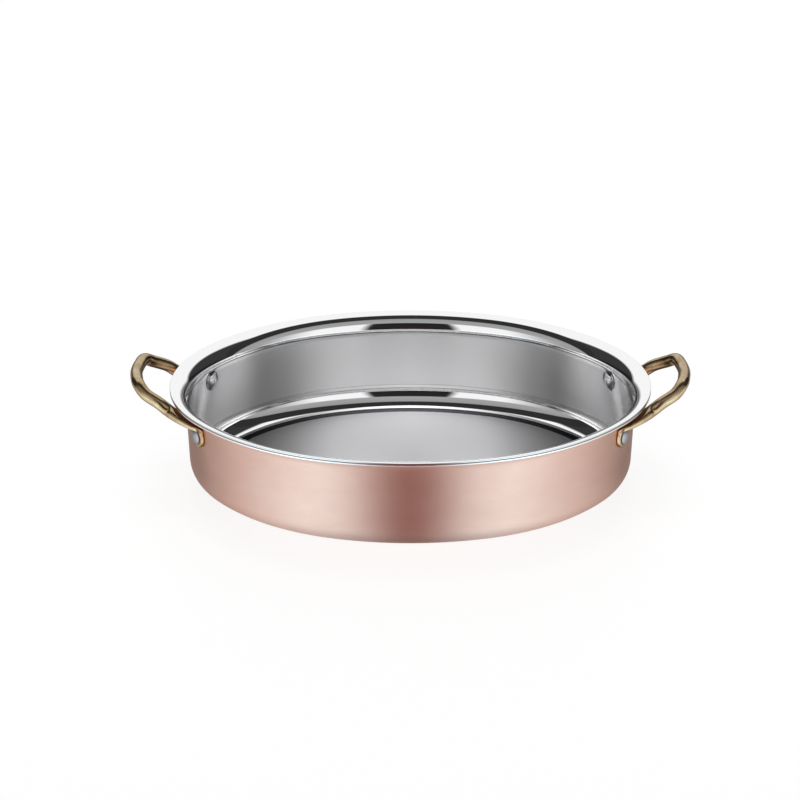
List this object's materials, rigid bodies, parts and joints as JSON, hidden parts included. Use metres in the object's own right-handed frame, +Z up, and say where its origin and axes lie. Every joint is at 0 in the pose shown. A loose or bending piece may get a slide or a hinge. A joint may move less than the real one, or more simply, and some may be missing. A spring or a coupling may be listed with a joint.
{
  "type": "serving pan",
  "caption": "Shallow oval pan of bonded sheet with a copper outside, a mirror-polished steel inside, a flared lip and riveted loop handles at its ends",
  "frame": {"origin": "centre of the base, on the surface it rests on", "axes": "+X along the length, through the handles; +Y across the pan, away from the camera of the picture; +Z up"},
  "size_m": [0.407, 0.274, 0.0882],
  "materials": {
    "polished_steel": "mirror polished",
    "aluminium": "cut edge",
    "copper": "satin, brushed round the body",
    "aged_brass": "aged, lightly polished",
    "satin_steel": "satin"
  },
  "bodies": {
    "root": {"steel_liner": "polished_steel", "aluminium_core": "aluminium", "copper_shell": "copper", "left_handle": "aged_brass", "right_handle": "aged_brass", "rivet_left_rear": "satin_steel", "rivet_left_front": "satin_steel", "rivet_right_rear": "satin_steel", "rivet_right_front": "satin_steel"}
  },
  "joints": []
}
